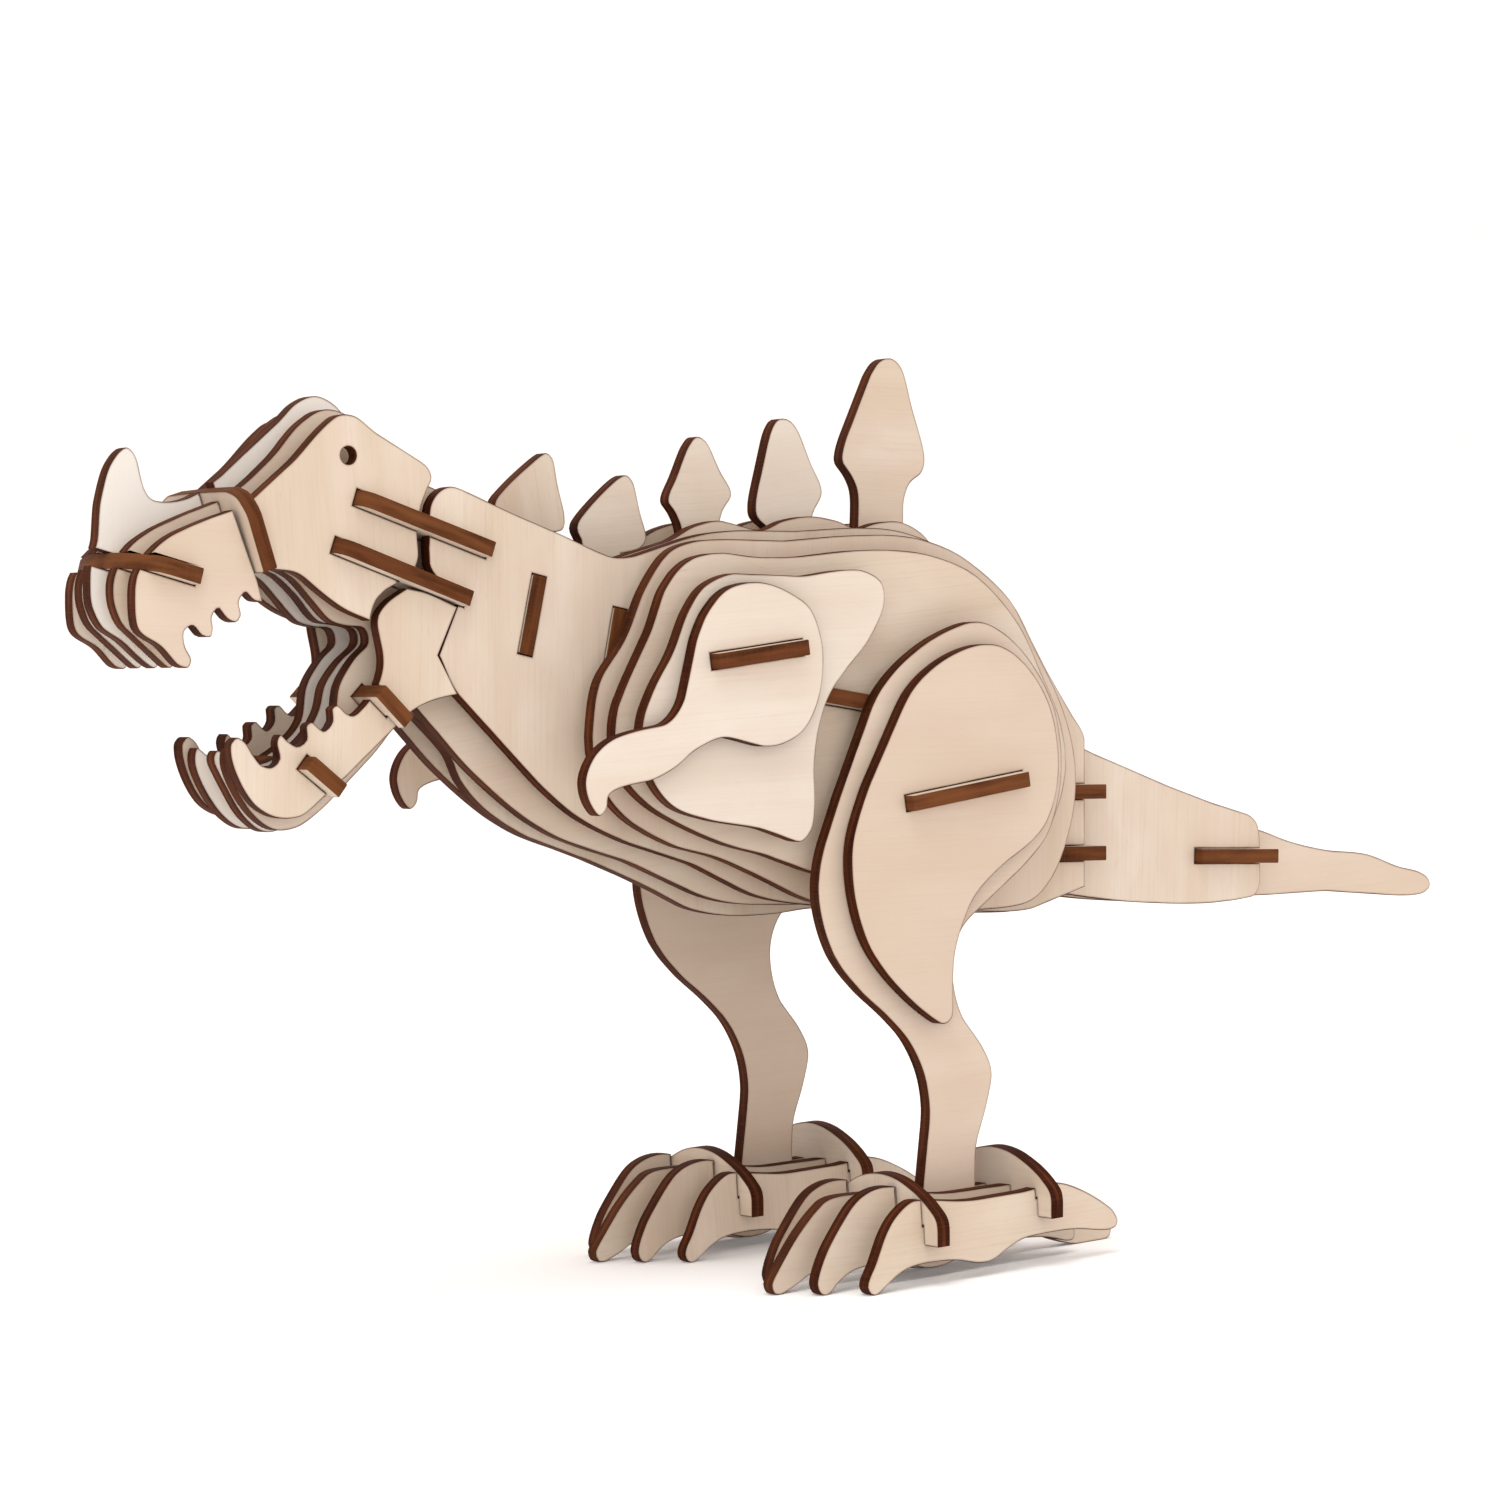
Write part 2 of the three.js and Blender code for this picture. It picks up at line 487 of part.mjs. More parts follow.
const armLine = cutLine([
  [-43.2, 138.1], [-48.4, 136.6], [-52.6, 132.6], [-55.4, 127], [-57.2, 120], [-58.8, 114.6],
  [-62, 111.2], [-68.4, 109.8], [-74.8, 107.9], [-79, 104.4], [-80.7, 100], [-79.6, 95.8],
  [-77.4, 93.6], [-75.9, 95], [-75.4, 97.4], [-72.6, 98.9], [-65.5, 100.3], [-60.6, 102.4],
  [-55.4, 106], [-49.4, 108.2], [-44, 107.4], [-39.3, 106.5], [-34.5, 107.2], [-30, 109.8],
  [-27.1, 114.4], [-25.7, 120], [-25.8, 126.6], [-28.6, 133.2], [-33, 136], [-38.6, 137.9],
]);
const arms = addPair("arm_plate", body, armLine, outerLimbLayer);

// ---- Cross boards and bulkheads of the body ----
const spine = [
  [0, [bodyCentre]],
  [innerLayer, bodyInner],
  [neckLayer, neckBody],
  [flankLayer, flankInner],
  [outerFlankLayer, flankOuter],
];
const spineLayers = spine.map(([side]) => side);
const limbLayers = [...spineLayers, limbLayer, outerLimbLayer];

const armBoard = addBoard("arm_board", body, {
  from: [-52, 122.8], to: [-30.6, 125.7], layers: limbLayers, reach: limbReach,
});
spine.forEach(([side, plates]) => slotFor(armBoard, plates, side));
slotFor(armBoard, shoulderPlates, limbLayer);
slotFor(armBoard, arms, outerLimbLayer);

const upperHipBoard = addBoard("upper_hip_board", body, {
  from: [-20, 116.5], to: [0, 113.7], layers: spineLayers, reach: upperHipReach,
});
spine.forEach(([side, plates]) => slotFor(upperHipBoard, plates, side));

// A bulkhead fills closed slots in the neck's plates, and its middle rises to hold a spike.
function addBulkhead(name, from, to, rise) {
  const reach = neckLayer + ply / 2 + 0.4;
  const riser = innerLayer - ply / 2 - slotPlay;
  const bulkhead = addCrossPlate(name, body, from, to, (half) => [
    [half, reach], [-half, reach], [-half, -reach], [half, -reach],
    [half, -riser], [half + rise, -riser, 1], [half + rise, riser, 1], [half, riser],
  ]);
  const low = -bulkhead.half - slotPlay;
  slotAcross(bulkhead, [...bodyInner, ...neckBody], low, bulkhead.half + slotPlay);
  slotAcross(bulkhead, [bodyCentre], low, bulkhead.half + rise + slotPlay);
  return bulkhead;
}
const frontBulkhead = addBulkhead("neck_bulkhead_front", [-80.1, 124.2], [-76.9, 139.3], 6);
const rearBulkhead = addBulkhead("neck_bulkhead_rear", [-61.3, 118], [-58.3, 133.2], 8);

neckBoards.forEach((board) => {
  slotFor(board, [headCentre, bodyCentre], 0);
  slotFor(board, [...headInner, ...bodyInner], innerLayer);
  slotFor(board, [...eye, ...neckBody], neckLayer);
});
// The jaw plates' top edge is trimmed where it would meet the lower neck board.
slotFor(neckBoards[1], jaw, neckLayer);

// ---- Spikes along the back, in line with the centre plate ----
const spikes = addGroup(dinosaur);

// A spike ends below in a straight foot, which stands in a notch of the centre plate. The foot
// is given by the middle of its top, its width and its lean from upright.
function addSpike(name, foot, outline, bulkhead, bulkheadTop) {
  const [x, z, width, lean] = foot;
  const up = new THREE.Vector2(0, 1).rotateAround(new THREE.Vector2(), -THREE.MathUtils.degToRad(lean));
  const across = new THREE.Vector2(up.y, -up.x);
  const top = new THREE.Vector2(x * stretch, z * lift);
  const corner = (side, down) => {
    const at = top.clone().addScaledVector(across, side).addScaledVector(up, -down);
    return [at.x / stretch, at.y / lift, true];
  };
  const line = cutLine([
    corner(width / 2, 0), corner(width / 2, spikeRootDepth),
    corner(-width / 2, spikeRootDepth), corner(-width / 2, 0), ...outline,
  ]);
  const spike = addPlate(name, spikes, line, 0);
  const frame = { mesh: new THREE.Object3D() };
  frame.mesh.position.set(top.x, 0, top.y);
  frame.mesh.rotation.y = THREE.MathUtils.degToRad(lean);
  const half = width / 2 + slotPlay;
  const from = new THREE.Vector3(-half, -ply, -spikeRootDepth - slotPlay);
  cutBlock(bodyCentre, frame, from, new THREE.Vector3(half, ply, drawnHeight));
  if (bulkhead) slotAcross(bulkhead, [spike], -drawnLength, bulkhead.half + bulkheadTop + slotPlay);
}
addSpike("spike_1", [-73.4, 149.4, 11, 12], [
  [-79.1, 153.8], [-76.8, 156.6], [-68.8, 163.1], [-67.3, 163.8], [-65.9, 162.9], [-64.6, 157.6],
  [-62.9, 150.6], [-63.6, 148.8],
], frontBulkhead, 6);
addSpike("spike_2", [-54.4, 145.4, 9.4, 11], [
  [-60.2, 149.4], [-59.2, 151.4], [-50.2, 159.5], [-48.6, 160], [-47.1, 158.9], [-45.2, 152.6],
  [-43.8, 147.6], [-45.2, 145.6],
], rearBulkhead, 8);
addSpike("spike_3", [-30.8, 148, 8.6, 0], [
  [-35.6, 150.4], [-37, 153], [-38.6, 155.2], [-36.4, 160.4], [-33.2, 166.9], [-31.6, 168.2],
  [-29.5, 167.4], [-26, 161.6], [-23.2, 156.9], [-25.3, 153.5], [-26.2, 150.6],
]);
addSpike("spike_4", [-8.4, 149.6, 9.4, 0], [
  [-14.6, 150.6], [-17, 152.6], [-17.3, 155.2], [-15.4, 163], [-13.3, 170.3], [-11.6, 172.4],
  [-9.1, 172.4], [-7.1, 170.8], [-3.6, 164], [-0.7, 157.9], [-2.8, 153.8], [-3.5, 151.4],
]);
addSpike("spike_5", [14.2, 150, 11.8, 0], [
  [8.2, 158.4], [6.6, 161.6], [4.4, 164.3], [4.7, 167.2], [8.4, 175.6], [11.9, 182.8],
  [14.2, 185.4], [16.9, 186], [19.4, 184.4], [22.4, 176], [25.6, 165.7], [24.9, 162.8],
  [21.8, 160.4], [20.3, 157],
]);

// ---- Tail ----
const tail = addGroup(dinosaur);

const tailBaseLine = cutLine([
  [tailSeam + seamGap, 109.6, true], [54, 108.6], [63.3, 105.1], [75, 101], [88.4, 96.5],
  [98, 93.6], [105, 91.7], [109.2, 90.6], [111.4, 88.8], [112.2, 85.7], [112.3, 80], [112.2, 75.5],
  [110.9, 73.3], [108.4, 72.7], [96.7, 71.8], [76.2, 72.6], [60, 74.4],
  [tailSeam + seamGap, 76.6, true],
]);
const tailBase = addPair("tail_base_plate", tail, tailBaseLine, innerLayer);

const tailTipLine = cutLine([
  [91, 92.6, true], [105, 89.6], [117.7, 87.1], [126.7, 84.4], [137.1, 82.4], [149.4, 81.2],
  [158.6, 78.4], [165.5, 76.9], [168.2, 75.4], [168.8, 73.8], [167.3, 72.4], [162.8, 71.7],
  [149.4, 72.4], [138, 73.2], [117.3, 72.8], [91, 73.4, true],
]);
const tailTip = addPlate("tail_tip_plate", tail, tailTipLine, 0);

const openRear = [false, true];
const tailBoards = [["tail_board_upper", 96.4], ["tail_board_lower", 83.5]].map(([name, height]) =>
  addBoard(name, tail, {
    from: [47, height], to: [62.2, height], layers: neckLayers, reach: tailReach, steps: [shoulder, 0],
  }),
);
tailBoards.forEach((board) => {
  slotFor(board, [bodyCentre], 0, openRear);
  slotFor(board, tailBase, innerLayer);
  slotFor(board, neckBody, neckLayer, openRear);
});
const tipBoard = addBoard("tail_tip_board", tail, {
  from: [93.8, 82.1], to: [115.5, 81.7], layers: [0, innerLayer], reach: tailTipReach, steps: [shoulder, 0],
});
slotFor(tipBoard, [tailTip], 0);
slotFor(tipBoard, tailBase, innerLayer, openRear);

// ---- Legs ----
const legs = addGroup(dinosaur);

const legLine = cutLine([
  [14.7, 131.2], [6.4, 128.9], [-2.4, 123.9], [-9.7, 116.8], [-15.8, 104], [-20.6, 93],
  [-24, 83], [-24.2, 75.4], [-20.6, 65.4], [-14.6, 58.6], [-7.6, 53], [-2.4, 48], [1.4, 41.3],
  [2.8, 34.4], [2.2, 26.8], [0.9, 15.8, true], [frontArchX - 5.5, 15.2, true], [frontArchX - 5.5, 7, true],
  [rearArchX + 3.5, 9, true], [rearArchX + 3.5, 17.4, true], [14.4, 16.8, true], [14.7, 26.1],
  [17.4, 34.6], [18.6, 41], [16.4, 45.8], [11, 52.6], [8.9, 59.3], [9, 65], [11.4, 70.2],
  [17.7, 75.3], [27.1, 82.3], [33.3, 88.8], [36.6, 100.6], [34.8, 113.6], [28.3, 123.6],
  [20.9, 129.4],
]);
const legPlates = addPair("leg_plate", legs, legLine, limbLayer);

const thighLine = cutLine([
  [13.7, 126.6], [5.4, 124.2], [-3.3, 118.1], [-9.8, 107.4], [-15.4, 96.6], [-18.5, 87.1],
  [-18.2, 78], [-15.2, 68.6], [-11, 62.6], [-4.4, 56.4], [1, 52.6], [4, 51.2], [6, 52.4],
  [6.3, 58.8], [7, 66], [11.4, 75.8], [18, 81.8], [25.6, 86.6], [30.2, 91], [33.2, 100.7],
  [31.4, 113.2], [26, 121.4], [19.2, 126],
]);
const thighs = addPair("thigh_plate", legs, thighLine, outerLimbLayer);

const hipBoard = addBoard("hip_board", legs, {
  from: [-5.4, 95.1], to: [23.8, 99.7], layers: limbLayers, reach: limbReach,
});
spine.forEach(([side, plates]) => slotFor(hipBoard, plates, side));
slotFor(hipBoard, legPlates, limbLayer);
slotFor(hipBoard, thighs, outerLimbLayer);

// ---- Feet ----
// The toe plates are drawn from the floor up. The outermost is short, the third is the longest,
// and it carries the foot on its toe and on the flat under its heel.
const outerToeLine = cutLine([
  [-21.1, 1.8], [-20.4, 0.4], [-19.2, 0], [-17.8, 0.6], [-15.1, 2.4], [-12.4, 3.7], [-9.4, 4.4],
  [-3.2, 4.5], [1.5, 4], [6, 2.9], [9.4, 2.9], [13.4, 4.6], [17.6, 6.1], [23.7, 6.5], [31, 6.3],
  [38, 5.2], [40.2, 5.1], [41.6, 5.6], [42, 6.8], [40.9, 8.8], [38.4, 10.8], [35.8, 12.5],
  [32.4, 14.3], [29, 15.7], [25, 16.4], [20.9, 15.7], [12.8, 15.4], [4.8, 15.5], [0.1, 16],
  [-3.8, 16.6], [-7, 17.1], [-9.2, 17.1], [-11.3, 16.2], [-14, 14.1], [-16, 11.6], [-17.6, 8.8],
  [-19.2, 5.6], [-20.6, 3.4],
]);
const middleToeLine = cutLine([
  [-27.3, 2.2], [-26.6, 0.5], [-25.4, 0], [-24, 0.5], [-22.1, 2.1], [-19.5, 3.5], [-16.6, 4.2],
  [-9, 4.2], [-4, 2.9], [0, 1.9], [4.6, 2.1], [12, 4.1], [20, 4.8], [30, 4], [35.4, 2.6],
  [36.8, 2.8], [37.2, 4.4], [35, 8.2], [31, 12.2], [27, 14.8], [22, 15.8], [12.8, 16],
  [4.8, 16.2], [-2, 17.4], [-6.4, 18.8], [-10, 19.3], [-13.3, 18.9], [-16.6, 17.5], [-19.4, 15],
  [-22.2, 11.7], [-24.7, 8.4], [-26.5, 5],
]);
const longToeLine = cutLine([
  [-32.6, 2.1], [-32, 0.4], [-30.8, 0], [-29.4, 0.3], [-26.1, 1.6], [-23.8, 2.7], [-19, 3.9],
  [-11, 4.1], [-4, 2.8], [1, 1], [5.4, 0.4], [9.6, 0.9], [16, 3.2], [25, 4.2], [34, 3.2],
  [40, 1], [44, 0, true], [51.4, 0, true], [52.8, 0.6], [53.2, 2], [51.6, 4.6], [46, 8.2],
  [38, 11.6], [30, 14.6], [22, 15.4], [12.8, 15.4], [4.8, 15.6], [-2, 16.4], [-8, 17.2],
  [-12, 17.4], [-16, 17.4], [-18.6, 16.8], [-21.3, 15], [-24.7, 12], [-27.5, 9], [-29.9, 6],
  [-31.8, 3.6],
]);
const toeLines = [outerToeLine, middleToeLine, longToeLine, middleToeLine];

// An arch seen from the front: a band with a leg at each end, outside the outermost toes.
function archLine(rise) {
  const legInside = 1.5 * toePitch + ply / 2 + slotPlay;
  const top = [[1, 13.1], [0.86, 15.7], [0.69, 17.7], [0.5, 19.3], [0.28, 20.6], [0, archTop]];
  const half = [
    [archReach, archFoot, true], ...top.map(([share, z]) => [share * archReach, z]),
  ];
  const mirror = (list) => list.map(([y, z, corner]) => [-y, z, corner]).reverse();
  const under = [[-legInside, archFoot, true], [-legInside, archUnder, true]];
  const around = [...half, ...mirror(half).slice(1), ...under, ...mirror(under)];
  return cutLine(around.map(([y, z, corner]) => [y / stretch, (z + rise) / lift, corner]));
}

// A foot has four toe plates side by side, two on each side of the leg, and two arches that
// drop over them. It stands level under the tipped body.
function addFoot(name, centre, legPlate) {
  const foot = addGroup(legs, -soleHeight * Math.sin(tip), centre, soleHeight * Math.cos(tip));
  foot.rotation.y = -tip;
  const toes = toeLines.map((line, i) =>
    addPlate(name + "_foot_toe_" + (i + 1), foot, line, (i - 1.5) * toePitch),
  );
  const arches = [["front", frontArchX, 0], ["rear", rearArchX, rearArchLift]];
  arches.forEach(([place, station, rise]) => {
    const arch = addPiece(name + "_foot_arch_" + place, foot, sheet(archLine(rise)));
    arch.mesh.rotation.set(Math.PI / 2, Math.PI / 2, 0);
    arch.mesh.position.x = station * stretch;
    const lap = archUnder + lapDepth + rise;
    const thick = ply / 2 + slotPlay;
    [...toes, legPlate].forEach((plate) => {
      const side = plate === legPlate ? 0 : plate.mesh.position.y;
      const low = new THREE.Vector3(side - thick, -drawnHeight, -drawnLength);
      cutBlock(arch, arch, low, new THREE.Vector3(side + thick, lap, drawnLength));
      const from = new THREE.Vector3(-drawnLength, lap - slotPlay, -thick);
      cutBlock(plate, arch, from, new THREE.Vector3(drawnLength, archTop + rise + slotPlay, thick));
    });
  });
}
addFoot("left", -limbLayer, legPlates[0]);
addFoot("right", limbLayer, legPlates[1]);

// ---- Finish: cut meshes go back into the tree, the body tips back, the feet come to Z = 0 ----
pieces.forEach(({ mesh, solid }) => {
  mesh.geometry = toGeometry(solid);
});
dinosaur.rotation.y = tip;
const box = new THREE.Box3().setFromObject(dinosaur, true);
dinosaur.position.x = -(box.min.x + box.max.x) / 2;
dinosaur.position.z = -box.min.z;
dinosaur.updateMatrixWorld(true);

export default dinosaur;
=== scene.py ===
import math
import random

import bpy
import bmesh
from mathutils import Euler, Matrix, Vector
from mathutils.geometry import tessellate_polygon


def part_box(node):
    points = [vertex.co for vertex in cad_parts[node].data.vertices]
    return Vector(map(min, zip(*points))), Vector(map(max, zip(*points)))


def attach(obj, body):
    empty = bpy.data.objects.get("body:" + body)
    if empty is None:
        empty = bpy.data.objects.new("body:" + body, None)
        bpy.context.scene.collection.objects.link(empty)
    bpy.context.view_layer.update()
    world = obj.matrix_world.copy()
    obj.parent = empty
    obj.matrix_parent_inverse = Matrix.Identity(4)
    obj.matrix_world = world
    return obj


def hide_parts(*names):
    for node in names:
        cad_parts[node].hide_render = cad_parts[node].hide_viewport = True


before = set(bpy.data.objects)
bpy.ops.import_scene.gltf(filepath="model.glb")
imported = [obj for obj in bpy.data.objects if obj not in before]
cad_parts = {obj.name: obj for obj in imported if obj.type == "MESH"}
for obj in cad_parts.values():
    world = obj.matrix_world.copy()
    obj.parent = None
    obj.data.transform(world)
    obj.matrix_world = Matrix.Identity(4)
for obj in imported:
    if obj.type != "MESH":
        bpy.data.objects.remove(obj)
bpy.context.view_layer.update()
print("loaded", len(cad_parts), "cut pieces")

millimetre = 0.001
scene = bpy.context.scene


# camera: turned toward the animal's left side, and leaning with its tipped-back body
cameraSet = {
    "place": (-0.53907, -0.7454, 0.14796),
    "turn": 35.0,
    "lean": 3.72,
    "lens": 108.0,
    "sensor": 36.0,
    "shiftUp": -0.03,
}


def addCamera(choices):
    data = bpy.data.cameras.new("studioCamera")
    data.lens = choices["lens"]
    data.sensor_width = choices["sensor"]
    data.shift_y = choices["shiftUp"]
    data.clip_end = 20
    camera = bpy.data.objects.new("studioCamera", data)
    camera.location = choices["place"]
    upright = Euler((math.radians(90), 0, math.radians(-choices["turn"]))).to_matrix()
    camera.rotation_euler = (Matrix.Rotation(math.radians(choices["lean"]), 3, "Y") @ upright).to_euler()
    scene.collection.objects.link(camera)
    scene.camera = camera


# small helpers for material nodes
def newMaterial(name):
    material = bpy.data.materials.new(name)
    material.use_nodes = True
    nodes = material.node_tree.nodes
    nodes.clear()
    shader = nodes.new("ShaderNodeBsdfPrincipled")
    output = nodes.new("ShaderNodeOutputMaterial")
    material.node_tree.links.new(shader.outputs["BSDF"], output.inputs["Surface"])
    return material, shader


def noiseAlong(material, stretch, detail=3.0, roughness=0.5, twist=0.0):
    # noise on the cut piece's own map, stretched differently with and across the grain
    nodes, links = material.node_tree.nodes, material.node_tree.links
    grainMap = nodes.new("ShaderNodeUVMap")
    grainMap.uv_map = "grain"
    mapping = nodes.new("ShaderNodeMapping")
    mapping.inputs["Scale"].default_value = (stretch[0], stretch[1], 1)
    noise = nodes.new("ShaderNodeTexNoise")
    noise.inputs["Scale"].default_value = 1
    noise.inputs["Detail"].default_value = detail
    noise.inputs["Roughness"].default_value = roughness
    noise.inputs["Distortion"].default_value = twist
    links.new(grainMap.outputs["UV"], mapping.inputs["Vector"])
    links.new(mapping.outputs["Vector"], noise.inputs["Vector"])
    return noise.outputs["Fac"]


def spread(material, value, low, high, start=0.0, end=1.0):
    remap = material.node_tree.nodes.new("ShaderNodeMapRange")
    remap.inputs["From Min"].default_value = low
    remap.inputs["From Max"].default_value = high
    remap.inputs["To Min"].default_value = start
    remap.inputs["To Max"].default_value = end
    material.node_tree.links.new(value, remap.inputs["Value"])
    return remap.outputs["Result"]


def blendColour(material, share, first, second, mode="MIX"):
    mix = material.node_tree.nodes.new("ShaderNodeMix")
    mix.data_type = "RGBA"
    mix.blend_type = mode
    links = material.node_tree.links
    for value, socket in ((share, mix.inputs[0]), (first, mix.inputs[6]), (second, mix.inputs[7])):
        if isinstance(value, (tuple, float)):
            socket.default_value = value
        else:
            links.new(value, socket)
    return mix.outputs[2]


def combine(material, operation, first, second):
    node = material.node_tree.nodes.new("ShaderNodeMath")
    node.operation = operation
    for value, socket in ((first, node.inputs[0]), (second, node.inputs[1])):
        if isinstance(value, float):
            socket.default_value = value
        else:
            material.node_tree.links.new(value, socket)
    return node.outputs["Value"]


def pieceValue(material, name):
    # a value written on the points of each piece, such as its tone
    attribute = material.node_tree.nodes.new("ShaderNodeAttribute")
    attribute.attribute_name = name
    return attribute.outputs["Fac"]


def addRelief(material, shader, height, choices):
    # fibres and burn lines, a tenth of a millimetre high
    bump = material.node_tree.nodes.new("ShaderNodeBump")
    bump.inputs["Strength"].default_value = choices["relief"]
    bump.inputs["Distance"].default_value = choices["reliefDepth"]
    material.node_tree.links.new(height, bump.inputs["Height"])
    material.node_tree.links.new(bump.outputs["Normal"], shader.inputs["Normal"])


# sanded birch: pale faces with faint fibres, soft figure, pores and a scorched rim
# each share gives the range of its pattern, then how much of the colour shows at each end
birchFinish = {
    "pale": (0.64, 0.555, 0.46, 1),
    "warm": (0.565, 0.46, 0.348, 1),
    "rosy": (0.58, 0.455, 0.36, 1),
    "tan": (0.43, 0.335, 0.245, 1),
    # near-white: pale wood at low tones, and the painted highlight on the head centre plate's horn and
    # crest
    "paleWoodAndHighlight": (0.78, 0.75, 0.71, 1),
    "fibre": (0.47, 0.33, 0.22, 1),
    "pore": (0.36, 0.23, 0.14, 1),
    "scorch": (0.11, 0.038, 0.015, 1),
    "fibreStretch": (34, 1900),
    "figureStretch": (12, 70),
    "mottleStretch": (60, 120),
    "poreStretch": (260, 3600),
    "rimStretch": (160, 160),
    "figureShare": (0.36, 0.68),
    "mottleShare": (0.4, 0.75, 0, 0.7),
    "fibreShare": (0.5, 0.85, 0, 0.42),
    "poreShare": (0.66, 0.8, 0, 0.42),
    "rosyShare": (0.5, 1, 0, 0.55),
    "tanShare": (1, 2),
    "paleWoodAndHighlightShare": (0, 0.45, 0.75, 0),
    "rimShare": (0.3, 0.7, 0.35, 0.95),
    "rimFade": 1.6,
    "roughness": (0.3, 0.8, 0.5, 0.72),
    "relief": 0.25,
    "reliefDepth": 0.12 * millimetre,
    "gloss": 0.35,
}


def makeBirch(choices):
    material, shader = newMaterial("birchFace")
    links = material.node_tree.links
    figure = noiseAlong(material, choices["figureStretch"], detail=4, twist=0.6)
    mottle = noiseAlong(material, choices["mottleStretch"], detail=3)
    fibre = noiseAlong(material, choices["fibreStretch"], detail=5, roughness=0.62)
    pore = noiseAlong(material, choices["poreStretch"], detail=2)
    tone = pieceValue(material, "tone")
    colour = choices["pale"]
    layers = [
        ("warm", figure, "figureShare"),
        ("rosy", mottle, "mottleShare"),
        ("fibre", fibre, "fibreShare"),
        ("pore", pore, "poreShare"),
        ("rosy", tone, "rosyShare"),
        ("tan", tone, "tanShare"),
        # low tones blend toward near-white: pale wood, and on the head centre plate a painted highlight
        ("paleWoodAndHighlight", tone, "paleWoodAndHighlightShare"),
    ]
    for name, pattern, share in layers:
        colour = blendColour(material, spread(material, pattern, *choices[share]), colour, choices[name])
    patch = spread(material, noiseAlong(material, choices["rimStretch"], detail=3), *choices["rimShare"])
    rim = combine(material, "POWER", pieceValue(material, "scorch"), choices["rimFade"])
    colour = blendColour(material, combine(material, "MULTIPLY", rim, patch), colour, choices["scorch"])
    links.new(colour, shader.inputs["Base Color"])
    links.new(spread(material, fibre, *choices["roughness"]), shader.inputs["Roughness"])
    addRelief(material, shader, fibre, choices)
    shader.inputs["Specular IOR Level"].default_value = choices["gloss"]
    return material


# laser-cut edge: charred plies, darker along the glue lines, with fine upright burn lines
# the core and glue reaches are parts of the sheet's thickness
edgeFinish = {
    "char": (0.014, 0.003, 0.0015, 1),
    "burn": (0.052, 0.0105, 0.004, 1),
    "toast": (0.14, 0.038, 0.012, 1),
    # a lighter reddish brown: faint patchy singe on plate edges, and painted light on the ends of boards,
    # bulkheads and brackets
    "singeAndLight": (0.17, 0.062, 0.022, 1),
    "glue": (0.010, 0.003, 0.002, 1),
    "lineStretch": (3600, 90),
    "patchStretch": (70, 500),
    "burnShare": (0.32, 0.7),
    "coreReach": (0.2, 0.1),
    "toastShare": (0.4, 0.72, 0.05, 0.7),
    "layers": 3,
    "glueReach": (0.035, 0.012),
    "glueStrength": 0.7,
    "lineShare": (0.42, 0.75, 0, 0.4),
    "singeAndLightShare": (0.3, 0.6, 0.35, 0.9),
    "roughness": (0.3, 0.7, 0.5, 0.75),
    "relief": 0.5,
    "reliefDepth": 0.1 * millimetre,
    "gloss": 0.04,
}


def makeEdge(choices, thickness):
    material, shader = newMaterial("burntEdge")
    links = material.node_tree.links
    lines = noiseAlong(material, choices["lineStretch"], detail=4, roughness=0.6)
    patch = noiseAlong(material, choices["patchStretch"], detail=3)
    burn = spread(material, patch, *choices["burnShare"])
    colour = blendColour(material, burn, choices["char"], choices["burn"])
    away = combine(material, "ABSOLUTE", pieceValue(material, "depth"), 0.0)
    core = spread(material, away, *[reach * thickness for reach in choices["coreReach"]])
    toast = combine(material, "MULTIPLY", core, spread(material, patch, *choices["toastShare"]))
    colour = blendColour(material, toast, colour, choices["toast"])
    glueHeight = thickness / (2 * choices["layers"])
    fromGlue = combine(material, "ABSOLUTE", combine(material, "SUBTRACT", away, glueHeight), 0.0)
    glueReach = [reach * thickness for reach in choices["glueReach"]]
    glue = spread(material, fromGlue, *glueReach, 0, choices["glueStrength"])
    colour = blendColour(material, glue, colour, choices["glue"])
    colour = blendColour(material, spread(material, lines, *choices["lineShare"]), colour, choices["toast"])
    # patches of the lighter reddish brown, strong on boards as painted light on their ends, faint on plates
    # as singe
    warmth = pieceValue(material, "warmth")
    singeAndLight = combine(material, "MULTIPLY", warmth, spread(material, patch, *choices["singeAndLightShare"]))
    colour = blendColour(material, singeAndLight, colour, choices["singeAndLight"])
    links.new(colour, shader.inputs["Base Color"])
    links.new(spread(material, lines, *choices["roughness"]), shader.inputs["Roughness"])
    addRelief(material, shader, lines, choices)
    shader.inputs["Specular IOR Level"].default_value = choices["gloss"]
    return material


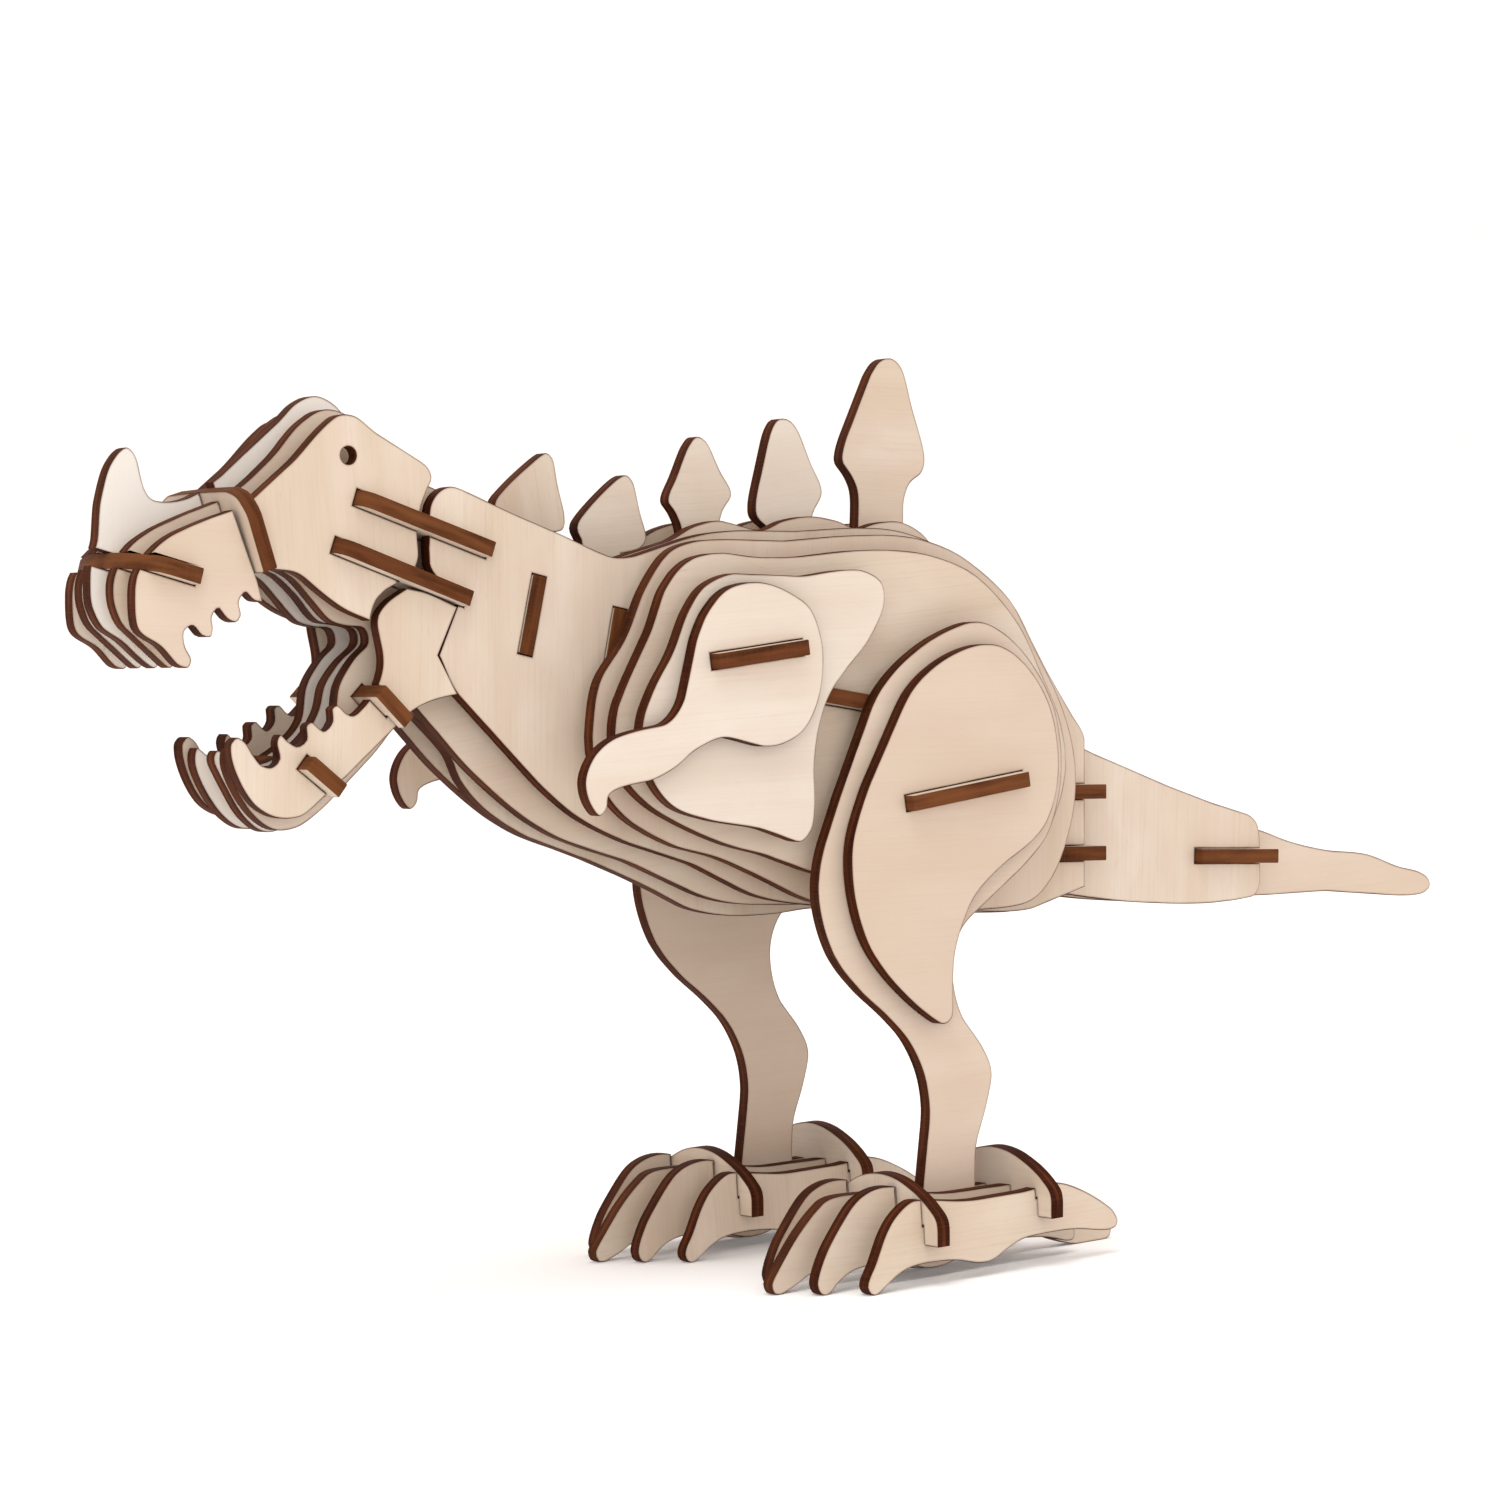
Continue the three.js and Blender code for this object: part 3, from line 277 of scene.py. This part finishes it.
# every piece is cut again from its own outline, with smooth curves and eased arrises
# a sheet's tone runs from near-white at 0 through rosy at 1 to tan at 2, and angles are in degrees; the
# near-white is pale wood on some sheets and a painted highlight on the head centre plate, which is set to 0
cutting = {
    "arris": 0.13 * millimetre,
    "scorchWidth": 0.5 * millimetre,
    "step": 0.7 * millimetre,
    "cornerTurn": 40.0,
    "longRun": 9 * millimetre,
    "sameSpot": 0.002 * millimetre,
    "flush": 0.02 * millimetre,
    "straightTurn": 0.0001,
    "foldLimit": 0.3,
    "mitreLimit": 0.5,
    "sharpAngle": 35,
    # tones given per sheet; the head centre plate at 0 takes the near-white as a painted highlight on its
    # horn and crest
    "sheetTonesAndHighlights": {
        "head_centre_plate": 0.0,
        "head_inner_plate_right": 0.05,
        "arm_plate_left": 0.3,
        "neck_body_plate_left": 0.55,
        "thigh_plate_left": 1.15,
        "leg_plate_left": 0.9,
    },
    "toneRange": (0.25, 0.95),
    # boards, bulkheads and brackets get much of the lighter reddish edge brown as painted light on their
    # ends; plates get only a little, as singe
    "litEdgePieces": ("board", "bulkhead", "bracket"),
    "boardSingeAndLight": (0.5, 0.95),
    "plateSinge": (0, 0.25),
    "seedStep": 7919,
    "grainTurns": [0, 0, 0, 90],
    "grainSway": 6,
    "grainSlide": 5,
}


def plateFrame(mesh):
    # the sheet's normal, its two directions in the plane, and the heights of its two faces
    areas = {}
    for polygon in mesh.polygons:
        key = tuple(round(value, 3) for value in polygon.normal)
        areas[key] = areas.get(key, 0) + polygon.area
    normal = Vector(max(areas, key=lambda key: (round(areas[key], 8), key))).normalized()
    if normal.y > 0.5 or (abs(normal.y) < 0.5 and normal.z < -0.2) or normal.x > 0.95:
        normal = -normal
    along = Vector((1, 0, 0)) if abs(normal.y) > 0.5 else Vector((0, 1, 0))
    along = (along - normal * along.dot(normal)).normalized()
    across = normal.cross(along)
    heights = [vertex.co.dot(normal) for vertex in mesh.vertices]
    return normal, along, across, min(heights), max(heights)


def outlineLoops(mesh, normal, along, across, top, choices):
    # directed edges round the upper face, chained into loops of flat points
    bm = bmesh.new()
    bm.from_mesh(mesh)
    bmesh.ops.remove_doubles(bm, verts=bm.verts, dist=choices["sameSpot"] / 2)
    bm.normal_update()
    onTop = set()
    for face in bm.faces:
        isLevel = all(abs(vert.co.dot(normal) - top) < choices["flush"] for vert in face.verts)
        if isLevel and face.normal.dot(normal) > 0.99:
            onTop.add(face)
    follow = {}
    for face in bm.faces:
        if face not in onTop:
            continue
        for loop in face.loops:
            others = [other for other in loop.edge.link_faces if other is not face]
            if not others or others[0] not in onTop:
                follow[loop.vert] = loop.link_loop_next.vert
    loops = []
    while follow:
        start, current = follow.popitem()
        chain = [start]
        while current is not start:
            chain.append(current)
            current = follow.pop(current)
        loops.append([(vert.co.dot(along), vert.co.dot(across)) for vert in chain])
    bm.free()
    loops.sort(key=lambda points: -abs(loopArea(points)))
    return loops


def loopArea(points):
    total = 0
    for (startX, startY), (endX, endY) in zip(points, points[1:] + points[:1]):
        total += startX * endY - endX * startY
    return total / 2


def softenLoop(points, choices):
    # curves between the corners are drawn finer, and straight runs and corners are kept
    flat = []
    for i, point in enumerate(points):
        before, after = Vector(points[i - 1]), Vector(points[(i + 1) % len(points)])
        here = Vector(point)
        back, on = here - before, after - here
        if back.length < choices["sameSpot"]:
            continue
        isFree = on.length > choices["sameSpot"] / 2
        if isFree and abs(back.normalized().angle_signed(on.normalized())) < choices["straightTurn"]:
            continue
        flat.append(here)
    count = len(flat)
    tangents = []
    for i, here in enumerate(flat):
        back, on = here - flat[i - 1], flat[(i + 1) % count] - here
        turn = abs(back.angle_signed(on))
        if turn > math.radians(choices["cornerTurn"]):
            tangents.append(None)
        else:
            tangents.append((back + on).normalized())
    fine = []
    for i, here in enumerate(flat):
        ahead = flat[(i + 1) % count]
        span = ahead - here
        first = tangents[i] or span.normalized()
        second = tangents[(i + 1) % count] or span.normalized()
        fine.append(here)
        straight = tangents[i] is None and tangents[(i + 1) % count] is None
        if straight or span.length > choices["longRun"]:
            continue
        pieces = max(1, round(span.length / choices["step"]))
        for k in range(1, pieces):
            t = k / pieces
            fine.append(
                here * (2 * t ** 3 - 3 * t ** 2 + 1)
                + first * span.length * (t ** 3 - 2 * t ** 2 + t)
                + ahead * (3 * t ** 2 - 2 * t ** 3)
                + second * span.length * (t ** 3 - t ** 2)
            )
    # a curve may not swell past the outline's own box
    low = [min(point[axis] for point in flat) for axis in (0, 1)]
    high = [max(point[axis] for point in flat) for axis in (0, 1)]
    return [Vector([min(max(point[axis], low[axis]), high[axis]) for axis in (0, 1)]) for point in fine]


def insetLoop(points, distance, choices):
    # the material lies to the left of each directed edge
    moved = []
    count = len(points)
    for i, here in enumerate(points):
        back = (here - points[i - 1]).normalized()
        on = (points[(i + 1) % count] - here).normalized()
        left, right = Vector((-back.y, back.x)), Vector((-on.y, on.x))
        middle = left + right
        if middle.length < choices["foldLimit"]:
            middle = left
        middle.normalize()
        reach = distance / max(choices["mitreLimit"], middle.dot(left))
        moved.append(here + middle * reach)
    return moved


def edgeSection(half, choices):
    # from the upper face over the cut edge to the lower one: how far in, how high, how scorched
    arris = choices["arris"]
    upper = [(choices["scorchWidth"], half, 0), (arris, half, 1), (0, half - arris, 1)]
    return upper + [(inset, -high, burnt) for inset, high, burnt in reversed(upper)]


def layRings(bm, loop, section, place, layers, values, choices):
    # one ring of points for each step of the section, and how far round the loop each point lies
    distances = [0.0]
    for start, end in zip(loop, loop[1:] + loop[:1]):
        distances.append(distances[-1] + (end - start).length)
    rings = []
    for inset, high, burnt in section:
        ring = []
        for point in insetLoop(loop, inset, choices) if inset else loop:
            vert = bm.verts.new(place(point, high))
            vert[layers["scorch"]] = burnt
            vert[layers["depth"]] = high
            for name, value in values.items():
                vert[layers[name]] = value
            ring.append((vert, point))
        rings.append(ring)
    return rings, distances


def sewRings(bm, rings, distances, grain, grainSpot, slide, layers):
    # strips between the rings: the outer two lie on the faces, and the rest are the burnt edge
    for level, (upper, lower) in enumerate(zip(rings, rings[1:])):
        isEdge = 1 <= level <= len(rings) - 3
        for i in range(len(upper)):
            j = (i + 1) % len(upper)
            corners = [(upper[i], distances[i]), (lower[i], distances[i])]
            corners += [(lower[j], distances[i + 1]), (upper[j], distances[i + 1])]
            face = bm.faces.new([vert for (vert, point), walked in corners])
            face.material_index = 1 if isEdge else 0
            for corner, ((vert, point), walked) in zip(face.loops, corners):
                if isEdge:
                    corner[grain].uv = (walked + slide.x, vert[layers["depth"]] + slide.y)
                else:
                    corner[grain].uv = grainSpot(point)


def closeFace(bm, borders, flip, grain, grainSpot):
    # the flat of the sheet inside its border rings
    flatLoops = [[Vector((point.x, point.y, 0)) for vert, point in ring] for ring in borders]
    flatPoints = [entry for ring in borders for entry in ring]
    for triangle in tessellate_polygon(flatLoops):
        corners = [flatPoints[k] for k in triangle]
        first, second, third = (point for vert, point in corners)
        if ((second - first).cross(third - first) < 0) != flip:
            corners.reverse()
        verts = [vert for vert, point in corners]
        if len(set(verts)) < 3:
            continue
        try:
            face = bm.faces.new(verts)
        except ValueError:
            continue
        for corner, (vert, point) in zip(face.loops, corners):
            corner[grain].uv = grainSpot(point)


def cutPiece(node, number, materials, choices):
    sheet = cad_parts[node].data
    normal, along, across, bottom, top = plateFrame(sheet)
    loops = [softenLoop(loop, choices) for loop in outlineLoops(sheet, normal, along, across, top, choices)]
    half, middle = (top - bottom) / 2, (top + bottom) / 2
    draw = random.Random(number * choices["seedStep"])
    sway, reach = choices["grainSway"], choices["grainSlide"]
    turn = math.radians(draw.choice(choices["grainTurns"]) + draw.uniform(-sway, sway))
    slide = Vector((draw.uniform(-reach, reach), draw.uniform(-reach, reach)))
    tone = draw.uniform(*choices["toneRange"])
    # board-type pieces draw a high share of the painted edge light, plates a low share of singe
    hasLitEdges = any(word in node for word in choices["litEdgePieces"])
    warmth = draw.uniform(*choices["boardSingeAndLight" if hasLitEdges else "plateSinge"])
    values = {"tone": choices["sheetTonesAndHighlights"].get(node, tone), "warmth": warmth}

    def place(point, high):
        return along * point.x + across * point.y + normal * (middle + high)

    def grainSpot(point):
        u = point.x * math.cos(turn) + point.y * math.sin(turn)
        v = point.y * math.cos(turn) - point.x * math.sin(turn)
        return u + slide.x, v + slide.y

    bm = bmesh.new()
    grain = bm.loops.layers.uv.new("grain")
    layers = {name: bm.verts.layers.float.new(name) for name in ("scorch", "depth", "tone", "warmth")}
    section = edgeSection(half, choices)
    cuts = [layRings(bm, loop, section, place, layers, values, choices) for loop in loops]
    for rings, distances in cuts:
        sewRings(bm, rings, distances, grain, grainSpot, slide, layers)
    for level, flip in ((0, False), (-1, True)):
        closeFace(bm, [rings[level] for rings, distances in cuts], flip, grain, grainSpot)
    mesh = bpy.data.meshes.new(node + "_ply")
    bm.to_mesh(mesh)
    bm.free()
    for material in materials:
        mesh.materials.append(material)
    mesh.shade_smooth()
    mesh.set_sharp_from_angle(angle=math.radians(choices["sharpAngle"]))
    piece = bpy.data.objects.new(node + "_ply", mesh)
    scene.collection.objects.link(piece)
    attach(piece, "root")
    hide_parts(node)
    return piece


# floor and soft studio light
studio = {
    "floorSize": 6.0,
    "floorColour": (0.93, 0.925, 0.92, 1),
    "floorGlow": 0.12,
    "skyColour": (1.15, 1.05, 1.0, 1),
    "lampColour": (0.86, 0.96, 1.0),
    "lights": [
        {"name": "overhead", "place": (-0.35, -0.35, 1.25), "aim": (0, 0, 0.08), "size": 0.8, "power": 5.5},
        {"name": "leftFill", "place": (-1.1, -1.2, 0.7), "aim": (0, 0, 0.1), "size": 0.7, "power": 3.2},
    ],
}


def addStudio(choices):
    world = bpy.data.worlds.new("studioSky")
    scene.world = world
    world.use_nodes = True
    world.node_tree.nodes["Background"].inputs["Color"].default_value = choices["skyColour"]
    half = choices["floorSize"] / 2
    mesh = bpy.data.meshes.new("studioFloor")
    corners = [(-half, -half, 0), (half, -half, 0), (half, half, 0), (-half, half, 0)]
    mesh.from_pydata(corners, [], [(0, 1, 2, 3)])
    floor = bpy.data.objects.new("studioFloor", mesh)
    scene.collection.objects.link(floor)
    material, shader = newMaterial("paleFloor")
    shader.inputs["Base Color"].default_value = choices["floorColour"]
    shader.inputs["Roughness"].default_value = 0.9
    shader.inputs["Emission Color"].default_value = (1, 1, 1, 1)
    shader.inputs["Emission Strength"].default_value = choices["floorGlow"]
    shader.inputs["Specular IOR Level"].default_value = 0.1
    mesh.materials.append(material)
    for lamp in choices["lights"]:
        data = bpy.data.lights.new(lamp["name"], "AREA")
        data.shape = "DISK"
        data.size = lamp["size"]
        data.energy = lamp["power"]
        data.color = choices["lampColour"]
        light = bpy.data.objects.new(lamp["name"], data)
        light.location = lamp["place"]
        aim = Vector(lamp["aim"]) - Vector(lamp["place"])
        light.rotation_euler = aim.to_track_quat("-Z", "Y").to_euler()
        scene.collection.objects.link(light)


addCamera(cameraSet)
addStudio(studio)
scene.view_settings.view_transform = "Standard"
print("camera, floor and lights are in place")

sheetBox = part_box("body_centre_plate")
sheetThickness = sheetBox[1].y - sheetBox[0].y
plywood = [makeBirch(birchFinish), makeEdge(edgeFinish, sheetThickness)]
print("plywood finishes made")

for number, node in enumerate(sorted(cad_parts)):
    cutPiece(node, number + 1, plywood, cutting)
print("cut", len(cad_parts), "plywood pieces")
